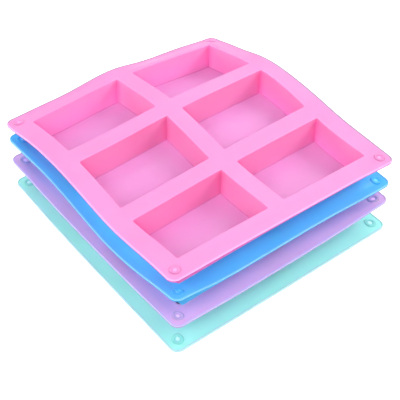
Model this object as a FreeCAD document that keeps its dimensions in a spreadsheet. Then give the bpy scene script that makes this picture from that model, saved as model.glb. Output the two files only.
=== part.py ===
"""A stack of four identical silicone soap moulds, each one moulding with six rectangular cavities.

Lengths are in millimetres, +Z is up. X runs along a cavity's long side, Y along its short side, and
the origin is under the middle of the stack, on the surface that it stands on. The moulds are built
flat, as they come out of the tool. Each stands with its pockets a little way into the mouths of the
cavities below.
"""

import FreeCAD, Part
import Sketcher
import math
import os

MOULDS_FROM_BELOW = ["mint_mould", "lavender_mould", "blue_mould", "pink_mould"]

# Driving dimensions: alias, value, what it is.
DIMENSIONS = [
    ("cavity_length", 80.0, "cavity mouth along X"),
    ("cavity_width", 53.0, "cavity mouth along Y"),
    ("cavity_depth", 22.5, "rim to cavity floor"),
    ("cavity_corner", 1.5, "corner radius at the mouth, seen from above"),
    ("cavity_draft", 1.0, "how far a wall leans in from rim to floor"),
    ("cavity_gap", 14.5, "flange left between two cavities"),
    ("columns", 2, "cavities along X"),
    ("rows", 3, "cavities along Y"),
    ("rim_margin", 16.5, "flange outside the outermost cavities"),
    ("flange_thickness", 2.0, "flange"),
    ("flange_corner", 6.5, "corner radius of the flange"),
    ("flange_rounding", 0.6, "rounding of the flange's outer edges"),
    ("wall", 1.5, "pocket wall"),
    ("pocket_corner", 4.6, "outer corner radius of a pocket, seen from above, at the rim"),
    ("pocket_floor", 1.5, "pocket floor"),
    ("mouth_rounding", 0.4, "rounding of a cavity's mouth"),
    ("floor_rounding", 0.4, "rounding inside, where wall meets floor"),
    ("pocket_rounding", 3.3, "rounding outside, round a pocket's bottom"),
    ("bosses_each_way", 2, "one boss at each corner of the flange"),
    ("boss_diameter", 8.2, "boss, a low round disc"),
    ("boss_rise", 0.8, "how far a boss stands up"),
    ("boss_inset", 8.8, "boss centre to each edge of the flange"),
    ("dimple_diameter", 4.3, "blind dimple in a boss"),
    ("dimple_depth", 0.7, "dimple, from the boss's top"),
    ("nesting_depth", 1.2, "how far a pocket stands in the mouth below"),
]

# Sizes that follow from the driving ones: alias, formula, what it is.
DERIVED = [
    ("pitch_x", "=cavity_length + cavity_gap", "cavity to cavity along X"),
    ("pitch_y", "=cavity_width + cavity_gap", "cavity to cavity along Y"),
    ("flange_length", "=columns * pitch_x - cavity_gap + 2 * rim_margin", "flange along X"),
    ("flange_width", "=rows * pitch_y - cavity_gap + 2 * rim_margin", "flange along Y"),
    ("mould_height", "=cavity_depth + pocket_floor", "pocket bottom to rim"),
    ("draft_angle", "=atan(cavity_draft / cavity_depth)", "lean of every wall, in degrees"),
    ("stack_pitch", "=mould_height - nesting_depth", "rim to rim in the stack"),
]

TOUCHING = 1e-4
EVENLY_SPACED = -1.0   # in a pattern's own list of spacings: this step is the offset, like the others


def make_sizes(document):
    """The sheet that drives every mould."""
    sheet = document.addObject("Spreadsheet::Sheet", "Sizes")
    for row, (alias, content, meaning) in enumerate(DIMENSIONS + DERIVED, start=1):
        sheet.set(f"A{row}", str(content))
        sheet.setAlias(f"A{row}", alias)
        sheet.set(f"B{row}", meaning)
    document.recompute()
    return sheet


def origin_feature(body, role):
    """One of the body's own origin planes or axes, such as XY_Plane or X_Axis."""
    return next(item for item in body.Origin.OriginFeatures if item.Role == role)


def place_sketch(body, name, offsets):
    """A sketch parallel to the body's XY plane; offsets gives an expression for x, y and z."""
    sketch = body.newObject("Sketcher::SketchObject", name)
    sketch.AttachmentSupport = [(origin_feature(body, "XY_Plane"), "")]
    sketch.MapMode = "FlatFace"
    for axis, expression in offsets.items():
        sketch.setExpression(f"AttachmentOffset.Base.{axis}", expression)
    return sketch


def draw_rounded_rectangle(sketch, length, width, corner):
    """A fully constrained rounded rectangle round the sketch's origin; the sizes are expressions."""
    half_x, half_y, radius = 40.0, 27.0, 3.0   # only where the solver starts from
    upright = FreeCAD.Vector(0, 0, 1)
    arcs = []
    for quarter, (side_x, side_y) in enumerate([(1, 1), (-1, 1), (-1, -1), (1, -1)]):
        centre = FreeCAD.Vector(side_x * (half_x - radius), side_y * (half_y - radius), 0)
        circle = Part.Circle(centre, upright, radius)
        start = quarter * math.pi / 2
        arcs.append(sketch.addGeometry(Part.ArcOfCircle(circle, start, start + math.pi / 2), False))
    lines = []
    for quarter in range(4):
        begin = sketch.getPoint(arcs[quarter], 2)
        finish = sketch.getPoint(arcs[(quarter + 1) % 4], 1)
        lines.append(sketch.addGeometry(Part.LineSegment(begin, finish), False))
    for quarter in range(4):
        following = arcs[(quarter + 1) % 4]
        sketch.addConstraint(Sketcher.Constraint("Tangent", arcs[quarter], 2, lines[quarter], 1))
        sketch.addConstraint(Sketcher.Constraint("Tangent", lines[quarter], 2, following, 1))
        direction = "Horizontal" if quarter % 2 == 0 else "Vertical"
        sketch.addConstraint(Sketcher.Constraint(direction, lines[quarter]))
    for quarter in range(1, 4):
        sketch.addConstraint(Sketcher.Constraint("Equal", arcs[0], arcs[quarter]))
    sketch.addConstraint(Sketcher.Constraint("Symmetric", arcs[0], 3, arcs[2], 3, -1, 1))
    across = Sketcher.Constraint("DistanceX", lines[1], 1, lines[3], 1, 2 * half_x)
    along = Sketcher.Constraint("DistanceY", lines[2], 1, lines[0], 1, 2 * half_y)
    bend = Sketcher.Constraint("Radius", arcs[0], radius)
    for label, constraint, expression in (("Length", across, length), ("Width", along, width),
                                          ("Corner", bend, corner)):
        index = sketch.addConstraint(constraint)
        sketch.renameConstraint(index, label)
        sketch.setExpression(f"Constraints.{label}", expression)


def draw_circle(sketch, diameter):
    """A circle round the sketch's origin; the diameter is an expression."""
    radius = 2.0   # only where the solver starts from
    circle = Part.Circle(FreeCAD.Vector(0, 0, 0), FreeCAD.Vector(0, 0, 1), radius)
    index = sketch.addGeometry(circle, False)
    sketch.addConstraint(Sketcher.Constraint("Coincident", index, 3, -1, 1))
    across = sketch.addConstraint(Sketcher.Constraint("Diameter", index, 2 * radius))
    sketch.renameConstraint(across, "Across")
    sketch.setExpression("Constraints.Across", diameter)


def extrude(body, kind, name, sketch, length, taper=None, reversed_way=False):
    """A pad or pocket of one sketch; length and taper are expressions."""
    feature = body.newObject(f"PartDesign::{kind}", name)
    feature.Profile = sketch
    feature.setExpression("Length", length)
    feature.Reversed = reversed_way
    if taper:
        feature.setExpression("TaperAngle", taper)
    return feature


def repeat_in_grid(body, name, feature, spacings, counts):
    """The feature repeated along +X and +Y."""
    grid = body.newObject("PartDesign::LinearPattern", name)
    grid.Originals = [feature]
    grid.Direction = (origin_feature(body, "X_Axis"), [""])
    grid.Mode = "Spacing"
    grid.setExpression("Offset", spacings[0])
    grid.setExpression("Occurrences", counts[0])
    grid.Direction2 = (origin_feature(body, "Y_Axis"), [""])
    grid.Mode2 = "Spacing"
    grid.Spacings2 = [EVENLY_SPACED]
    grid.setExpression("Offset2", spacings[1])
    grid.setExpression("Occurrences2", counts[1])
    body.Tip = grid
    body.Document.recompute()


def round_edges(body, name, radius, chosen):
    """Fillet the edges of the body so far that the test picks; radius is an expression."""
    base = body.Tip
    edges = [f"Edge{number}" for number, edge in enumerate(base.Shape.Edges, start=1) if chosen(edge)]
    fillet = body.newObject("PartDesign::Fillet", name)
    fillet.Base = (base, edges)
    fillet.setExpression("Radius", radius)
    body.Tip = fillet
    body.Document.recompute()


def level_edges_at(height, inside=None):
    """A test for edges that lie level at this height, within a half size (x, y) where one is given."""
    def chosen(edge):
        box = edge.BoundBox
        if abs(box.ZMin - height) > TOUCHING or abs(box.ZMax - height) > TOUCHING:
            return False
        if inside is None:
            return True
        return max(abs(box.XMin), abs(box.XMax)) < inside[0] and max(abs(box.YMin), abs(box.YMax)) < inside[1]
    return chosen


def make_mould(document, sheet, name, level):
    """One mould, with its underside at Z = 0 in its own frame, placed at its level in the stack."""
    def size(alias):
        value = sheet.get(alias)
        return float(getattr(value, "Value", value))

    body = document.addObject("PartDesign::Body", name)
    body.Label = name
    body.setExpression("Placement.Base.z", f"{level} * Sizes.stack_pitch")
    rim = "Sizes.mould_height"
    first_cavity = {"x": "-Sizes.pitch_x * (Sizes.columns - 1) / 2",
                    "y": "-Sizes.pitch_y * (Sizes.rows - 1) / 2", "z": rim}
    cavity_spacings = ("Sizes.pitch_x", "Sizes.pitch_y")
    cavity_counts = ("Sizes.columns", "Sizes.rows")

    flange_outline = place_sketch(body, "FlangeOutline", {"z": rim})
    draw_rounded_rectangle(flange_outline, "Sizes.flange_length", "Sizes.flange_width",
                           "Sizes.flange_corner")
    extrude(body, "Pad", "Flange", flange_outline, "Sizes.flange_thickness", reversed_way=True)

    pocket_outline = place_sketch(body, "PocketOutline", first_cavity)
    draw_rounded_rectangle(pocket_outline, "Sizes.cavity_length + 2 * Sizes.wall",
                           "Sizes.cavity_width + 2 * Sizes.wall", "Sizes.pocket_corner")
    block = extrude(body, "Pad", "PocketBlock", pocket_outline, rim, "-Sizes.draft_angle",
                    reversed_way=True)
    repeat_in_grid(body, "PocketBlocks", block, cavity_spacings, cavity_counts)
    round_edges(body, "PocketBottoms", "Sizes.pocket_rounding", level_edges_at(0.0))

    mouth_outline = place_sketch(body, "MouthOutline", first_cavity)
    draw_rounded_rectangle(mouth_outline, "Sizes.cavity_length", "Sizes.cavity_width",
                           "Sizes.cavity_corner")
    hollow = extrude(body, "Pocket", "Cavity", mouth_outline, "Sizes.cavity_depth",
                     "-Sizes.draft_angle")
    repeat_in_grid(body, "Cavities", hollow, cavity_spacings, cavity_counts)
    round_edges(body, "CavityFloors", "Sizes.floor_rounding", level_edges_at(size("pocket_floor")))

    half_flange = (size("flange_length") / 2, size("flange_width") / 2)
    within_rim = tuple(half - size("rim_margin") / 2 for half in half_flange)
    round_edges(body, "CavityMouths", "Sizes.mouth_rounding",
                level_edges_at(size("mould_height"), inside=within_rim))

    def on_outer_edge(edge):
        box = edge.BoundBox
        level_edge = box.ZLength < TOUCHING and box.ZMin > size("mould_height") / 2
        outside = (max(abs(box.XMin), abs(box.XMax)) > within_rim[0]
                   or max(abs(box.YMin), abs(box.YMax)) > within_rim[1])
        return level_edge and outside
    round_edges(body, "FlangeEdges", "Sizes.flange_rounding", on_outer_edge)

    first_boss = {"x": "Sizes.boss_inset - Sizes.flange_length / 2",
                  "y": "Sizes.boss_inset - Sizes.flange_width / 2", "z": rim}
    boss_spacings = ("Sizes.flange_length - 2 * Sizes.boss_inset",
                     "Sizes.flange_width - 2 * Sizes.boss_inset")
    boss_outline = place_sketch(body, "BossOutline", first_boss)
    draw_circle(boss_outline, "Sizes.boss_diameter")
    boss = extrude(body, "Pad", "Boss", boss_outline, "Sizes.boss_rise")
    boss_counts = ("Sizes.bosses_each_way", "Sizes.bosses_each_way")
    repeat_in_grid(body, "Bosses", boss, boss_spacings, boss_counts)

    boss_top = dict(first_boss, z="Sizes.mould_height + Sizes.boss_rise")
    dimple_outline = place_sketch(body, "DimpleOutline", boss_top)
    draw_circle(dimple_outline, "Sizes.dimple_diameter")
    dimple = extrude(body, "Pocket", "Dimple", dimple_outline, "Sizes.dimple_depth")
    repeat_in_grid(body, "Dimples", dimple, boss_spacings, boss_counts)
    return body


def report_problems(document, bodies):
    """Stop with a plain message if any object or any mould's shape has failed."""
    failed = [item.Name for item in document.Objects if {"Invalid", "Error"} & set(item.State)]
    if failed:
        raise RuntimeError(f"objects that failed: {failed}")
    for body in bodies:
        if body.Shape.isNull() or not body.Shape.isValid() or len(body.Shape.Solids) != 1:
            raise RuntimeError(f"{body.Label} is not one valid solid")


def main():
    document = FreeCAD.newDocument("soap_moulds")
    sheet = make_sizes(document)
    bodies = [make_mould(document, sheet, name, level)
              for level, name in enumerate(MOULDS_FROM_BELOW)]
    document.recompute()
    report_problems(document, bodies)
    os.makedirs("parts", exist_ok=True)
    for body in bodies:
        body.Shape.exportStep(f"parts/{body.Label}.step")
        box = body.Shape.optimalBoundingBox(True, False)
        print(f"{body.Label}: {body.Shape.Volume / 1000:.1f} cm3, "
              f"{box.XLength:.1f} x {box.YLength:.1f} mm, Z {box.ZMin:.2f} to {box.ZMax:.2f}")


main()
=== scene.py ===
"""Looks of a stack of four six-cavity silicone soap moulds: pink, blue, lavender and mint.

Every mould is one closed skin: a thin flange with six sharp pockets hanging from it and a
dimpled boss in each corner. The skins are made flat, then bent a little as soft silicone
settles, and each one stands for its CAD mould. Lengths are in metres.
"""
import math
from collections import namedtuple

import bmesh
import bpy
import numpy as np
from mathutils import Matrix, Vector
from mathutils.geometry import delaunay_2d_cdt


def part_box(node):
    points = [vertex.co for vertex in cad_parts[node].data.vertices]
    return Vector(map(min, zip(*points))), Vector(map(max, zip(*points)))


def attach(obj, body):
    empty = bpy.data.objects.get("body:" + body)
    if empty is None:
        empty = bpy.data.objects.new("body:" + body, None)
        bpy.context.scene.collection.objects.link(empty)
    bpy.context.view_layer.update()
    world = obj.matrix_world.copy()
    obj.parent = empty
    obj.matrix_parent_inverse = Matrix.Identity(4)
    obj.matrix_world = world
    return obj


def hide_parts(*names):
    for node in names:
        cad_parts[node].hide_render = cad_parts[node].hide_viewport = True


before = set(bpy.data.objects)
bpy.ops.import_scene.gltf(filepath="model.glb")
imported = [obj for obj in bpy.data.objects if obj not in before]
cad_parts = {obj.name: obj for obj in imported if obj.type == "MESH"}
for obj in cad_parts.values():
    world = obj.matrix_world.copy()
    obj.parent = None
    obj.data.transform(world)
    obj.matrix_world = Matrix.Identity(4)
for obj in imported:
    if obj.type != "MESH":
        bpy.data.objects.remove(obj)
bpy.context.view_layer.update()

MM = 0.001

# The pockets, in two columns along X and three rows along Y
CAVITY_LENGTH = 80 * MM
CAVITY_WIDTH = 53 * MM
CAVITY_DEPTH = 22.5 * MM
CAVITY_GAP = 14.5 * MM
CAVITY_DRAFT = 1.0 * MM
MOUTH_CORNER = 1.0 * MM
FLOOR_CORNER = 0.6 * MM
MOUTH_ROUNDING = 0.3 * MM
FLOOR_ROUNDING = 0.4 * MM
COLUMNS = 2
ROWS = 3

# The flange and the outer faces of the pockets
MOULD_HEIGHT = 24 * MM
FLANGE_THICKNESS = 2.0 * MM
FLANGE_CORNER = 6.5 * MM
FLANGE_ROUNDING = 0.6 * MM
WALL_AT_RIM = 1.5 * MM
WALL_AT_FLOOR = 0.7 * MM
ROOT_ROUNDING = 0.8 * MM
POCKET_CORNER = 4.6 * MM
POCKET_FOOT_CORNER = 2.0 * MM
POCKET_ROUNDING = 2.4 * MM
SHARPEST_FOOT = 0.3 * MM
SHARPEST_FLOOR = 0.15 * MM

# Over what width the paint changes below and inside the flange's edge, round its painted
# highlight and painted shade, and round the floors, from the painted shade in their creases
SIDE_FADE = 0.1 * MM
EDGE_FADE = 0.8 * MM
LINE_FADE = 0.4 * MM
CREASE_FADE = 1.0 * MM

# The bosses: radius, height and paint of each ring from the foot to the dimple's floor, the
# foot's slope in painted shade and the middle with a painted highlight
BOSS_INSET = 8.8 * MM
BOSS_PROFILE = [
    (4.5 * MM, 0.0 * MM, "rim"),
    (4.25 * MM, 0.12 * MM, "ring"),
    (4.05 * MM, 0.45 * MM, "ring"),
    (3.75 * MM, 0.72 * MM, "ring"),
    (3.4 * MM, 0.8 * MM, "boss"),
    (2.6 * MM, 0.8 * MM, "boss"),
    (2.35 * MM, 0.72 * MM, "boss"),
    (2.15 * MM, 0.45 * MM, "boss"),
    (1.95 * MM, 0.15 * MM, "boss"),
    (1.7 * MM, 0.1 * MM, "rim"),
    (1.1 * MM, 0.22 * MM, "pip"),
]
BOSS_MIDDLE = 0.3 * MM
BOSS_STEPS = 32

# How finely the skins are cut, and how they are triangulated and shaded
CELL = 3 * MM
CLEARANCE = 1.2 * MM
CORNER_STEPS = 5
END_STEPS = 1
FLANGE_CORNER_STEPS = 10
ROUNDING_STEPS = 4
FOOT_STEPS = 6
WALL_STEPS = 7
KEEP_INSIDE = 1
CUT_TOLERANCE = 1e-9
NORMAL_WEIGHT = 100

# A gentle bend: its middle and its spread as shares of the flange's half sizes, and its lift
Bend = namedtuple("Bend", "name middle spread lift")

# A deeper front edge: where it starts, how far it reaches along +X and how far it hangs down
Lip = namedtuple("Lip", "start reach drop")
LIP_WIDTH = 2 * MM
LIP_RISE = 3.5 * MM

# The outermost strip of the flange that follows the margin's own bends all the way
MARGIN_STRIP = 3 * MM

# How the pockets of the top mould lie, and how the margin of each flange lies round them
POCKET_BENDS = [
    Bend("front_left_crest", (-1.0, 0.4), (0.9, 0.45), 4.0 * MM),
    Bend("centre_crest", (0.15, 0.3), (0.6, 0.5), 7.0 * MM),
    Bend("right_crest", (1.0, 0.1), (0.6, 0.45), 7.5 * MM),
    Bend("front_left_dip", (-1.0, -0.35), (0.8, 0.3), -4.5 * MM),
    Bend("right_dip", (0.9, -0.55), (0.6, 0.3), -1.5 * MM),
    Bend("near_corner", (-0.8, -1.0), (1.2, 0.4), 3.0 * MM),
    Bend("left_corner", (-1.0, 1.0), (0.7, 0.3), -4.5 * MM),
    Bend("far_corner", (1.0, 1.0), (0.7, 0.4), -7.5 * MM),
    Bend("back_crest", (0.0, 1.0), (0.4, 0.4), 1.0 * MM),
]
PINK_BENDS = [
    Bend("front_left_crest", (-1.0, 0.4), (0.9, 0.45), 4.0 * MM),
    Bend("centre_crest", (0.15, 0.3), (0.6, 0.5), 7.0 * MM),
    Bend("right_crest", (1.0, 0.1), (0.6, 0.45), 7.5 * MM),
    Bend("front_left_dip", (-1.0, -0.35), (0.8, 0.3), -3.0 * MM),
    Bend("right_dip", (0.9, -0.55), (0.6, 0.3), -1.0 * MM),
    Bend("near_corner", (-0.8, -1.0), (1.2, 0.4), 3.0 * MM),
    Bend("left_corner", (-1.0, 1.0), (0.7, 0.3), -6.0 * MM),
    Bend("far_corner", (1.0, 1.0), (0.7, 0.4), -10.0 * MM),
    Bend("back_crest", (0.0, 1.0), (0.2, 0.25), 1.5 * MM),
    Bend("back_left_ripple", (-0.45, 1.0), (0.2, 0.14), -1.3 * MM),
    Bend("back_right_ripple", (0.3, 1.0), (0.3, 0.14), -2.8 * MM),
    Bend("far_curl", (1.0, 1.0), (0.3, 0.15), -2.5 * MM),
    Bend("right_ripple", (1.0, 0.05), (0.15, 0.25), -1.5 * MM),
    Bend("far_right_ripple", (1.0, 0.6), (0.15, 0.15), -1.0 * MM),
    Bend("right_curl", (1.0, -1.0), (0.25, 0.25), -2.0 * MM),
]
BLUE_BENDS = [
    Bend("near_corner", (-1.0, -1.0), (0.3, 0.3), 5.5 * MM),
    Bend("front_left_dip", (-1.0, -0.3), (0.8, 0.4), -6.0 * MM),
    Bend("front_left_crest", (-1.0, 0.5), (0.8, 0.35), 4.0 * MM),
    Bend("right_corner", (1.0, -1.0), (0.5, 0.4), -4.2 * MM),
    Bend("left_corner", (-1.0, 1.0), (0.6, 0.3), 2.0 * MM),
]
LAVENDER_BENDS = [
    Bend("near_corner", (-1.0, -1.0), (0.4, 0.4), 2.5 * MM),
    Bend("left_corner", (-1.0, 1.0), (0.6, 0.5), 5.2 * MM),
    Bend("right_corner", (1.0, -1.0), (0.4, 0.6), 2.5 * MM),
]
MINT_BENDS = [
    Bend("front_left_dip", (-1.0, 0.0), (0.8, 0.6), -1.0 * MM),
    Bend("left_corner", (-1.0, 1.0), (0.6, 0.4), 3.2 * MM),
    Bend("front_dip", (0.0, -1.0), (0.6, 0.8), -0.5 * MM),
]

# share is how much of the pocket bends a mould follows; shift, and turn in degrees, are how far
# its margin has crept in plan
Mould = namedtuple("Mould", "node body slot bends share shift turn lip")
MOULDS = [
    Mould(node="pink_mould", body="pink", slot="silicone_pink", bends=PINK_BENDS, share=1.0,
          shift=(0.0, 0.0), turn=0.0, lip=Lip(-101.5 * MM, 68 * MM, 2.6 * MM)),
    Mould(node="blue_mould", body="blue", slot="silicone_blue", bends=BLUE_BENDS, share=0.6,
          shift=(1.0 * MM, 0.5 * MM), turn=0.5, lip=Lip(-101.5 * MM, 24 * MM, 6.0 * MM)),
    Mould(node="lavender_mould", body="lavender", slot="silicone_lavender",
          bends=LAVENDER_BENDS, share=0.25, shift=(0.0, -1.0 * MM), turn=0.5, lip=None),
    Mould(node="mint_mould", body="mint", slot="silicone_mint", bends=MINT_BENDS, share=0.0,
          shift=(-0.5 * MM, -2.5 * MM), turn=0.0, lip=None),
]

# Colours of one mould: its rim, pocket walls, painted shade at their ends, painted shade in the
# corners between them and in the creases round the floors, thin floors with the mould below
# showing through, a painted highlight on the front edges (on the mint a painted dark line),
# painted shade on the back edges and on the side below them, and a boss's foot in painted
# shade, its top, and its middle with a painted highlight
Paint = namedtuple("Paint", "rim wall shade fold crease floor edge back side ring boss pip")
PAINTS = {
    "silicone_pink": Paint(rim=(0.88, 0.285, 0.59), wall=(1.0, 0.295, 0.575),
                           shade=(1.0, 0.27, 0.55), fold=(0.98, 0.20, 0.47),
                           crease=(0.74, 0.24, 0.56), floor=(0.72, 0.31, 0.64),
                           edge=(0.85, 0.40, 0.70), back=(0.34, 0.24, 0.38),
                           side=(0.44, 0.055, 0.32), ring=(0.60, 0.19, 0.43),
                           boss=(0.80, 0.26, 0.55), pip=(0.92, 0.40, 0.70)),
    "silicone_blue": Paint(rim=(0.07, 0.495, 0.88), wall=(0.04, 0.44, 0.88),
                           shade=(0.03, 0.41, 0.85), fold=(0.03, 0.36, 0.78),
                           crease=(0.02, 0.30, 0.70), floor=(0.10, 0.47, 0.90),
                           edge=(0.19, 0.55, 0.95), back=(0.06, 0.36, 0.68),
                           side=(0.0, 0.24, 0.54), ring=(0.02, 0.38, 0.78),
                           boss=(0.05, 0.49, 0.90), pip=(0.14, 0.72, 1.0)),
    "silicone_lavender": Paint(rim=(0.67, 0.40, 0.68), wall=(0.64, 0.38, 0.66),
                               shade=(0.60, 0.35, 0.63), fold=(0.52, 0.28, 0.57),
                               crease=(0.42, 0.24, 0.50), floor=(0.60, 0.38, 0.68),
                               edge=(0.50, 0.44, 0.76), back=(0.40, 0.27, 0.50),
                               side=(0.32, 0.23, 0.48), ring=(0.44, 0.31, 0.55),
                               boss=(0.54, 0.36, 0.62), pip=(0.92, 0.62, 0.95)),
    "silicone_mint": Paint(rim=(0.32, 0.80, 0.72), wall=(0.26, 0.74, 0.66),
                           shade=(0.24, 0.71, 0.62), fold=(0.19, 0.64, 0.56),
                           crease=(0.16, 0.56, 0.50), floor=(0.27, 0.78, 0.68),
                           edge=(0.36, 0.60, 0.63), back=(0.22, 0.54, 0.52),
                           side=(0.28, 0.56, 0.55), ring=(0.20, 0.64, 0.57),
                           boss=(0.24, 0.71, 0.64), pip=(0.52, 0.87, 0.87)),
}

# Painted light and shade on the pocket walls: where they are painted paler or darker than their
# paint, lift being the share of it, and how much of that share red, green and blue follow
WALL_LIGHT_AND_SHADE = [
    Bend("back_row_light", (0.0, 0.85), (2.0, 0.12), 0.18),
    Bend("left_column_shade", (-0.3, 0.0), (0.2, 0.6), -0.17),
]
WALL_LIGHT_BY_CHANNEL = np.array([0.3, 1.0, 0.7])

# Silicone: how it refracts and lets light in, its satin range and its moulded grain
SILICONE_IOR = 1.41
SUBSURFACE_WEIGHT = 0.6
SUBSURFACE_RADIUS = (1.0, 0.6, 0.8)
SUBSURFACE_SCALE = 3.0 * MM
CLOUD_SCALE = 45
CLOUD_DETAIL = 3
CLOUD_VALUE = (0.96, 1.04)
CLOUD_ROUGHNESS = (0.36, 0.50)
GRAIN_SCALE = 1400
GRAIN_DETAIL = 2
GRAIN_STRENGTH = 0.25
GRAIN_DEPTH = 0.03 * MM

# The studio: a pale floor that glows a little, a dim white world and soft square lights
FLOOR_REACH = 30.0
FLOOR_COLOUR = (0.92, 0.92, 0.92, 1)
FLOOR_ROUGHNESS = 0.9
FLOOR_GLOW = 0.53
WHITE = (1, 1, 1, 1)
WORLD_STRENGTH = 0.18
Softbox = namedtuple("Softbox", "name place size power")
SOFTBOXES = [
    Softbox("overhead_softbox", (0.0, 0.2, 1.5), 1.6, 6.5),
    Softbox("corner_softbox", (0.55, 0.45, 0.65), 0.5, 2.1),
    Softbox("front_softbox", (-1.0, -1.25, 1.45), 1.4, 13.5),
    Softbox("right_softbox", (1.5, -0.85, 1.17), 1.0, 28),
    Softbox("left_softbox", (-1.1, -0.25, 0.85), 0.9, 9.5),
    Softbox("back_softbox", (-0.5, 1.2, 0.25), 0.7, 9),
]

# The camera looks down at the near corner of the stack
VIEW_AZIMUTH = math.radians(-37.7)
VIEW_ELEVATION = math.radians(43.9)
VIEW_DISTANCE = 0.7775
VIEW_TARGET = Vector((-0.0174, -0.0285, 0.0579))
VIEW_LENS = 92
SENSOR_WIDTH = 36

LOW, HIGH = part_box("pink_mould")
HALF_X = (HIGH.x - LOW.x) / 2
HALF_Y = (HIGH.y - LOW.y) / 2
PITCH_X = CAVITY_LENGTH + CAVITY_GAP
PITCH_Y = CAVITY_WIDTH + CAVITY_GAP
POCKETS_HALF_X = (COLUMNS - 1) * PITCH_X / 2 + CAVITY_LENGTH / 2 + WALL_AT_RIM
POCKETS_HALF_Y = (ROWS - 1) * PITCH_Y / 2 + CAVITY_WIDTH / 2 + WALL_AT_RIM
POCKET_CUTS = ((round(CAVITY_WIDTH / CELL), round(CAVITY_LENGTH / CELL)), CORNER_STEPS)
FLANGE_CUTS = ((round(2 * HALF_Y / CELL), round(2 * HALF_X / CELL)), FLANGE_CORNER_STEPS)
BACK_STRIP = FLANGE_CORNER / 2


class Outline:
    """A rectangle with rounded corners, or a circle when it is all corners."""

    def __init__(self, centre, length, width, radius):
        self.centre = centre
        self.length = length
        self.width = width
        self.radius = radius

    def grown(self, by, radius):
        return Outline(self.centre, self.length + 2 * by, self.width + 2 * by, radius)

    def distance(self, x, y):
        """How far a point is outside; negative inside."""
        over_x = abs(x - self.centre[0]) - self.length / 2 + self.radius
        over_y = abs(y - self.centre[1]) - self.width / 2 + self.radius
        outside = math.hypot(max(over_x, 0), max(over_y, 0))
        return outside + min(max(over_x, over_y), 0) - self.radius

    def points(self, side_steps, corner_steps):
        """Points anticlockwise from the foot of the right-hand side."""
        arcs = []
        for turn, (sign_x, sign_y) in enumerate([(1, -1), (1, 1), (-1, 1), (-1, -1)]):
            middle_x = self.centre[0] + sign_x * (self.length / 2 - self.radius)
            middle_y = self.centre[1] + sign_y * (self.width / 2 - self.radius)
            angles = [(turn - 1 + step / corner_steps) * math.pi / 2
                      for step in range(corner_steps + 1)]
            arcs.append([(middle_x + self.radius * math.cos(a),
                          middle_y + self.radius * math.sin(a)) for a in angles])
        ring = []
        for turn, arc in enumerate(arcs):
            ring += arc
            start = arc[-1]
            end = arcs[(turn + 1) % 4][0]
            steps = side_steps[turn % 2]
            for step in range(1, steps):
                share = step / steps
                ring.append((start[0] + (end[0] - start[0]) * share,
                             start[1] + (end[1] - start[1]) * share))
        return ring


class Skin:
    """The vertices and faces of one closed skin, collected ring by ring."""

    def __init__(self):
        self.points = []
        self.paint_name = []
        self.faces = []

    def add(self, x, y, z, paint_name):
        self.points.append((x, y, z))
        self.paint_name.append(paint_name)
        return len(self.points) - 1

    def ring(self, outline, z, paint_name="rim"):
        """A level ring of vertices; its paint is one name, or a list with one for each."""
        paint_names = [paint_name] * len(outline) if isinstance(paint_name, str) else paint_name
        return [self.add(x, y, z, own) for (x, y), own in zip(outline, paint_names)]

    def band(self, upper, lower):
        for i, here in enumerate(upper):
            after = (i + 1) % len(upper)
            self.faces.append((here, upper[after], lower[after], lower[i]))

    def rings(self, first, levels):
        """Carries a ring through (points, height, finish) levels; returns the last one."""
        for level in levels:
            ring = self.ring(*level)
            self.band(first, ring)
            first = ring
        return first

    def plate(self, outer, outer_outline, holes, z, paint_name="rim"):
        """A flat plate inside one ring and round the holes, each a (ring, outline) pair."""
        index = list(outer)
        edges = [(i, (i + 1) % len(outer)) for i in range(len(outer))]
        for ring, _ in holes:
            start = len(index)
            index += ring
            edges += [(start + i, start + (i + 1) % len(ring)) for i in range(len(ring))]
        flat = [Vector(self.points[i][:2]) for i in index]
        columns = round(outer_outline.length / CELL)
        rows = round(outer_outline.width / CELL)
        for column in range(1, columns):
            for row in range(1, rows):
                x = outer_outline.centre[0] + (column / columns - 0.5) * outer_outline.length
                y = outer_outline.centre[1] + (row / rows - 0.5) * outer_outline.width
                inside = -outer_outline.distance(x, y) > CLEARANCE
                if inside and all(hole.distance(x, y) > CLEARANCE for _, hole in holes):
                    index.append(self.add(x, y, z, paint_name))
                    flat.append(Vector((x, y)))
        cut = delaunay_2d_cdt(flat, edges, [], KEEP_INSIDE, CUT_TOLERANCE)
        _, _, triangles, originals, _, _ = cut
        for triangle in triangles:
            corners = [index[originals[i][0]] for i in triangle]
            x = sum(self.points[i][0] for i in corners) / 3
            y = sum(self.points[i][1] for i in corners) / 3
            if all(hole.distance(x, y) > 0 for _, hole in holes):
                self.faces.append(tuple(corners))


def quarter(steps):
    """Sine and cosine through a right angle, the first direction left out."""
    return [(math.sin(a), math.cos(a))
            for a in (step / steps * math.pi / 2 for step in range(1, steps + 1))]


def pocket_centres():
    return [((column - (COLUMNS - 1) / 2) * PITCH_X, (row - (ROWS - 1) / 2) * PITCH_Y)
            for row in range(ROWS) for column in range(COLUMNS)]


def cornered(side, end, corner, side_steps, corner_steps):
    """Paint names for a ring of Outline.points: its sides, their two ends and its corners."""
    paint_names = []
    for turn in range(4):
        middle = [side] * (side_steps[turn % 2] - 1 - 2 * END_STEPS)
        ends = [end] * END_STEPS
        paint_names += [corner] * (corner_steps + 1) + ends + middle + ends
    return paint_names


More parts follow.
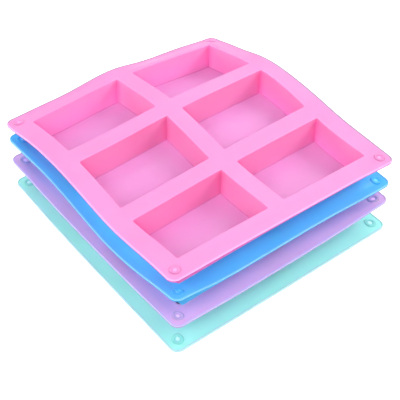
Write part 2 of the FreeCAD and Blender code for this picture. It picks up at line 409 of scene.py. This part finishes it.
def add_cavity(skin, centre):
    """The inside of a pocket, from the rounded mouth to the floor; returns its mouth."""
    opening = Outline(centre, CAVITY_LENGTH, CAVITY_WIDTH, MOUTH_CORNER)
    wall_height = CAVITY_DEPTH - MOUTH_ROUNDING - FLOOR_ROUNDING
    # The walls' ends and the corners between them are painted with shade
    wall_paint_names = cornered("wall", "shade", "fold", *POCKET_CUTS)

    mouth = opening.grown(MOUTH_ROUNDING, MOUTH_CORNER + MOUTH_ROUNDING)
    first = skin.ring(mouth.points(*POCKET_CUTS), 0)
    levels = []
    for sine, cosine in quarter(ROUNDING_STEPS):
        by = MOUTH_ROUNDING * (1 - sine)
        height = -MOUTH_ROUNDING * (1 - cosine)
        levels.append((opening.grown(by, MOUTH_CORNER + by), height, "wall"))
    for step in range(1, WALL_STEPS + 1):
        share = step / WALL_STEPS
        corner = MOUTH_CORNER + (FLOOR_CORNER - MOUTH_CORNER) * share
        levels.append((opening.grown(-CAVITY_DRAFT * share, corner),
                       -MOUTH_ROUNDING - wall_height * share, wall_paint_names))
    # The crease round the floor is painted with shade
    for sine, cosine in quarter(ROUNDING_STEPS):
        by = FLOOR_ROUNDING * (1 - cosine)
        floor = opening.grown(-CAVITY_DRAFT - by, max(FLOOR_CORNER - by, SHARPEST_FLOOR))
        levels.append((floor, -CAVITY_DEPTH + FLOOR_ROUNDING * (1 - sine), "crease"))
    levels.append((floor.grown(-CREASE_FADE, SHARPEST_FLOOR), -CAVITY_DEPTH, "floor"))
    last = skin.rings(first, [(outline.points(*POCKET_CUTS), *rest)
                              for outline, *rest in levels])
    skin.plate(last, levels[-1][0], [], -CAVITY_DEPTH, "floor")
    return first, mouth


def add_pocket(skin, centre):
    """The outside of a pocket, from the flange's underside down; returns its root."""
    opening = Outline(centre, CAVITY_LENGTH, CAVITY_WIDTH, MOUTH_CORNER)
    foot_offset = WALL_AT_FLOOR - CAVITY_DRAFT
    top = -FLANGE_THICKNESS - ROOT_ROUNDING
    wall_height = MOULD_HEIGHT + top - POCKET_ROUNDING

    root = opening.grown(WALL_AT_RIM + ROOT_ROUNDING, POCKET_CORNER + ROOT_ROUNDING)
    first = skin.ring(root.points(*POCKET_CUTS), -FLANGE_THICKNESS)
    levels = []
    for sine, cosine in quarter(ROUNDING_STEPS):
        by = ROOT_ROUNDING * (1 - sine)
        levels.append((opening.grown(WALL_AT_RIM + by, POCKET_CORNER + by),
                       -FLANGE_THICKNESS - ROOT_ROUNDING * (1 - cosine)))
    for step in range(1, WALL_STEPS + 1):
        share = step / WALL_STEPS
        corner = POCKET_CORNER + (POCKET_FOOT_CORNER - POCKET_CORNER) * share
        levels.append((opening.grown(WALL_AT_RIM + (foot_offset - WALL_AT_RIM) * share, corner),
                       top - wall_height * share))
    for sine, cosine in quarter(FOOT_STEPS):
        by = POCKET_ROUNDING * (1 - cosine)
        foot = opening.grown(foot_offset - by, max(POCKET_FOOT_CORNER - by, SHARPEST_FOOT))
        levels.append((foot, -MOULD_HEIGHT + POCKET_ROUNDING * (1 - sine)))
    last = skin.rings(first, [(outline.points(*POCKET_CUTS), z) for outline, z in levels])
    skin.plate(last, foot, [], -MOULD_HEIGHT)
    return first, root


def add_boss(skin, centre):
    """A raised disc with a dimple in it; returns its foot."""
    angles = [step / BOSS_STEPS * 2 * math.pi for step in range(BOSS_STEPS)]
    levels = []
    for radius, z, paint_name in BOSS_PROFILE:
        circle = [(centre[0] + radius * math.cos(a), centre[1] + radius * math.sin(a))
                  for a in angles]
        levels.append((circle, z, paint_name))
    first = skin.ring(*levels[0])
    last = skin.rings(first, levels[1:])
    # The middle is painted with a highlight
    middle = skin.add(*centre, BOSS_MIDDLE, "pip")
    for i, here in enumerate(last):
        skin.faces.append((here, last[(i + 1) % len(last)], middle))
    foot = BOSS_PROFILE[0][0]
    return first, Outline(centre, 2 * foot, 2 * foot, foot)


def add_flange_edge(skin):
    """The rounded outer edge; returns its top and its bottom, each a (ring, outline) pair."""
    flange = Outline((0, 0), 2 * HALF_X, 2 * HALF_Y, FLANGE_CORNER)
    face = flange.grown(-FLANGE_ROUNDING, FLANGE_CORNER - FLANGE_ROUNDING)
    line = face.grown(-EDGE_FADE, face.radius - EDGE_FADE)
    inner = line.grown(-LINE_FADE, line.radius - LINE_FADE)
    first = skin.ring(inner.points(*FLANGE_CUTS), 0)
    # The edge is painted with a highlight (on the mint with a dark line) and the side below it
    # with shade
    levels = [(line, 0, "line"), (face, 0, "edge")]
    for sine, cosine in quarter(ROUNDING_STEPS):
        by = -FLANGE_ROUNDING * (1 - sine)
        height = -FLANGE_ROUNDING * (1 - cosine)
        levels.append((flange.grown(by, FLANGE_CORNER + by), height, "edge"))
    levels.append((flange, -FLANGE_ROUNDING - SIDE_FADE, "side"))
    for sine, cosine in reversed([(0.0, 1.0)] + quarter(ROUNDING_STEPS)):
        by = -FLANGE_ROUNDING * (1 - sine)
        height = -FLANGE_THICKNESS + FLANGE_ROUNDING * (1 - cosine)
        levels.append((flange.grown(by, FLANGE_CORNER + by), height, "side"))
    last = skin.rings(first, [(outline.points(*FLANGE_CUTS), *rest)
                              for outline, *rest in levels])
    return (first, inner), (last, face)


def flat_mould():
    """One mould before it settles, with its rim at height 0."""
    skin = Skin()
    top, bottom = add_flange_edge(skin)
    mouths = [add_cavity(skin, centre) for centre in pocket_centres()]
    roots = [add_pocket(skin, centre) for centre in pocket_centres()]
    bosses = [add_boss(skin, (sign_x * (HALF_X - BOSS_INSET), sign_y * (HALF_Y - BOSS_INSET)))
              for sign_x in (-1, 1) for sign_y in (-1, 1)]
    skin.plate(*top, mouths + bosses, 0)
    skin.plate(*bottom, roots, -FLANGE_THICKNESS)
    return skin


def lift_of(bends, x, y):
    """The sum of the bends' rounded bumps and dips at each point."""
    lift = np.zeros_like(x)
    for bend in bends:
        across = (x / HALF_X - bend.middle[0]) / bend.spread[0]
        along = (y / HALF_Y - bend.middle[1]) / bend.spread[1]
        lift += bend.lift * np.exp(-across ** 2 - along ** 2)
    return lift


def margin_share(x, y):
    """0 over the pockets, rising smoothly to 1 near the flange's outer edge."""
    out_x = (np.abs(x) - POCKETS_HALF_X) / (HALF_X - POCKETS_HALF_X - MARGIN_STRIP)
    out_y = (np.abs(y) - POCKETS_HALF_Y) / (HALF_Y - POCKETS_HALF_Y - MARGIN_STRIP)
    share = np.clip(np.maximum(out_x, out_y), 0, 1)
    return share * share * (3 - 2 * share)


def lip_depth(lip, x, y, z):
    """How far the underside of the front edge reaches down beside the near corner."""
    if lip is None:
        return 0
    near_edge = np.clip(1 - (y + HALF_Y) / LIP_WIDTH, 0, 1)
    edge_depth = -z - FLANGE_ROUNDING
    through = np.clip(edge_depth / (FLANGE_THICKNESS - FLANGE_ROUNDING), 0, 1)
    rise = np.clip((x - lip.start) / LIP_RISE, 0, 1)
    fade = np.exp(-((x - lip.start) / lip.reach) ** 2)
    return lip.drop * near_edge * through * rise * fade


def settled(points, mould):
    """The mould's vertices after it has sagged and crept."""
    x, y, z = np.array(points).T
    margin = margin_share(x, y)
    pockets = mould.share * lift_of(POCKET_BENDS, x, y)
    lift = pockets * (1 - margin) + lift_of(mould.bends, x, y) * margin
    turn = math.radians(mould.turn)
    crept_x = x + margin * (mould.shift[0] - turn * y)
    crept_y = y + margin * (mould.shift[1] + turn * x)
    return np.column_stack([crept_x, crept_y, z + lift - lip_depth(mould.lip, x, y, z)])


def edges_lit_and_shaded(skin):
    """Each vertex's paint name, with a painted highlight on the edges towards -X and -Y (on the
    mint a painted dark line) and painted shade on the edges behind.
    """
    at_the_front = {"line": "rim"}
    at_the_back = {"line": "back", "edge": "back"}
    paint_names = []
    for (x, y, _), paint_name in zip(skin.points, skin.paint_name):
        behind = x > HALF_X - BACK_STRIP or y > HALF_Y - BACK_STRIP
        paint_names.append((at_the_back if behind else at_the_front).get(paint_name, paint_name))
    return paint_names


def painted(skin, paints):
    """The colour of each vertex, with painted light on the back row's pocket walls and painted
    shade on those of the left column.
    """
    paint_names = edges_lit_and_shaded(skin)
    colours = np.array([(*getattr(paints, paint_name), 1.0) for paint_name in paint_names])
    on_wall = np.array([paint_name in ("wall", "shade", "fold") for paint_name in paint_names])
    x, y, _ = np.array(skin.points).T
    wall_light = on_wall * lift_of(WALL_LIGHT_AND_SHADE, x, y)
    colours[:, :3] *= 1 + np.outer(wall_light, WALL_LIGHT_BY_CHANNEL)
    return np.clip(colours, 0, 1)


def make_mould(mould, skin):
    points = settled(skin.points, mould)
    points[:, 2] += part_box(mould.node)[0].z + MOULD_HEIGHT
    mesh = bpy.data.meshes.new(mould.body + "_silicone")
    mesh.from_pydata(points.tolist(), [], skin.faces)
    shape = bmesh.new()
    shape.from_mesh(mesh)
    bmesh.ops.recalc_face_normals(shape, faces=shape.faces)
    shape.to_mesh(mesh)
    shape.free()
    paint = mesh.color_attributes.new("paint", "FLOAT_COLOR", "POINT")
    paint.data.foreach_set("color", painted(skin, PAINTS[mould.slot]).ravel())
    mesh.shade_smooth()
    piece = bpy.data.objects.new(mould.body + "_silicone", mesh)
    bpy.context.collection.objects.link(piece)
    normals = piece.modifiers.new("even_normals", "WEIGHTED_NORMAL")
    normals.weight = NORMAL_WEIGHT
    piece.data.materials.append(silicone(mould.slot))
    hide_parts(mould.node)
    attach(piece, mould.body)


def noise(tree, place, scale, detail):
    texture = tree.nodes.new("ShaderNodeTexNoise")
    texture.inputs["Scale"].default_value = scale
    texture.inputs["Detail"].default_value = detail
    tree.links.new(place.outputs["Object"], texture.inputs["Vector"])
    return texture.outputs["Fac"]


def spread(tree, value, ends):
    """Carries 0 to 1 into the range between two ends."""
    node = tree.nodes.new("ShaderNodeMapRange")
    node.inputs["To Min"].default_value = ends[0]
    node.inputs["To Max"].default_value = ends[1]
    tree.links.new(value, node.inputs["Value"])
    return node.outputs["Result"]


def silicone(name):
    """Satin, slightly cloudy silicone with a fine moulded grain, in the colours painted on the
    skin, painted light and shade among them.
    """
    material = bpy.data.materials.new(name)
    material.use_nodes = True
    tree = material.node_tree
    shader = tree.nodes["Principled BSDF"]
    shader.inputs["IOR"].default_value = SILICONE_IOR
    shader.inputs["Subsurface Weight"].default_value = SUBSURFACE_WEIGHT
    shader.inputs["Subsurface Radius"].default_value = SUBSURFACE_RADIUS
    shader.inputs["Subsurface Scale"].default_value = SUBSURFACE_SCALE

    place = tree.nodes.new("ShaderNodeTexCoord")
    paint = tree.nodes.new("ShaderNodeAttribute")
    paint.attribute_name = "paint"
    cloud = noise(tree, place, CLOUD_SCALE, CLOUD_DETAIL)
    hue = tree.nodes.new("ShaderNodeHueSaturation")
    tree.links.new(paint.outputs["Color"], hue.inputs["Color"])
    tree.links.new(spread(tree, cloud, CLOUD_VALUE), hue.inputs["Value"])
    tree.links.new(hue.outputs["Color"], shader.inputs["Base Color"])
    tree.links.new(spread(tree, cloud, CLOUD_ROUGHNESS), shader.inputs["Roughness"])

    bump = tree.nodes.new("ShaderNodeBump")
    bump.inputs["Strength"].default_value = GRAIN_STRENGTH
    bump.inputs["Distance"].default_value = GRAIN_DEPTH
    tree.links.new(noise(tree, place, GRAIN_SCALE, GRAIN_DETAIL), bump.inputs["Height"])
    tree.links.new(bump.outputs["Normal"], shader.inputs["Normal"])
    return material


def make_floor():
    mesh = bpy.data.meshes.new("floor")
    corners = [(sign_x * FLOOR_REACH, sign_y * FLOOR_REACH, 0)
               for sign_x, sign_y in [(-1, -1), (1, -1), (1, 1), (-1, 1)]]
    mesh.from_pydata(corners, [], [(0, 1, 2, 3)])
    floor = bpy.data.objects.new("floor", mesh)
    bpy.context.collection.objects.link(floor)
    paint = bpy.data.materials.new("floor_paint")
    paint.use_nodes = True
    shader = paint.node_tree.nodes["Principled BSDF"]
    shader.inputs["Base Color"].default_value = FLOOR_COLOUR
    shader.inputs["Roughness"].default_value = FLOOR_ROUGHNESS
    shader.inputs["Emission Color"].default_value = WHITE
    shader.inputs["Emission Strength"].default_value = FLOOR_GLOW
    mesh.materials.append(paint)


def make_world():
    world = bpy.data.worlds.new("studio")
    world.use_nodes = True
    background = world.node_tree.nodes["Background"]
    background.inputs["Color"].default_value = WHITE
    background.inputs["Strength"].default_value = WORLD_STRENGTH
    bpy.context.scene.world = world


def make_light(softbox):
    """A square area light that faces the middle of the stack."""
    light = bpy.data.lights.new(softbox.name, "AREA")
    light.shape = "SQUARE"
    light.size = softbox.size
    light.energy = softbox.power
    lamp = bpy.data.objects.new(softbox.name, light)
    lamp.location = softbox.place
    aim = Vector((0, 0, HIGH.z / 2)) - Vector(softbox.place)
    lamp.rotation_euler = aim.to_track_quat("-Z", "Y").to_euler()
    bpy.context.collection.objects.link(lamp)


def make_camera():
    camera = bpy.data.cameras.new("camera")
    camera.lens = VIEW_LENS
    camera.sensor_width = SENSOR_WIDTH
    eye = bpy.data.objects.new("camera", camera)
    back = Vector((math.sin(VIEW_AZIMUTH) * math.cos(VIEW_ELEVATION),
                   -math.cos(VIEW_AZIMUTH) * math.cos(VIEW_ELEVATION),
                   math.sin(VIEW_ELEVATION)))
    eye.location = VIEW_TARGET + VIEW_DISTANCE * back
    eye.rotation_euler = back.to_track_quat("Z", "Y").to_euler()
    bpy.context.collection.objects.link(eye)
    bpy.context.scene.camera = eye


def main():
    skin = flat_mould()
    for mould in MOULDS:
        make_mould(mould, skin)
    make_floor()
    make_world()
    for softbox in SOFTBOXES:
        make_light(softbox)
    make_camera()
    bpy.context.scene.view_settings.view_transform = "Standard"


main()
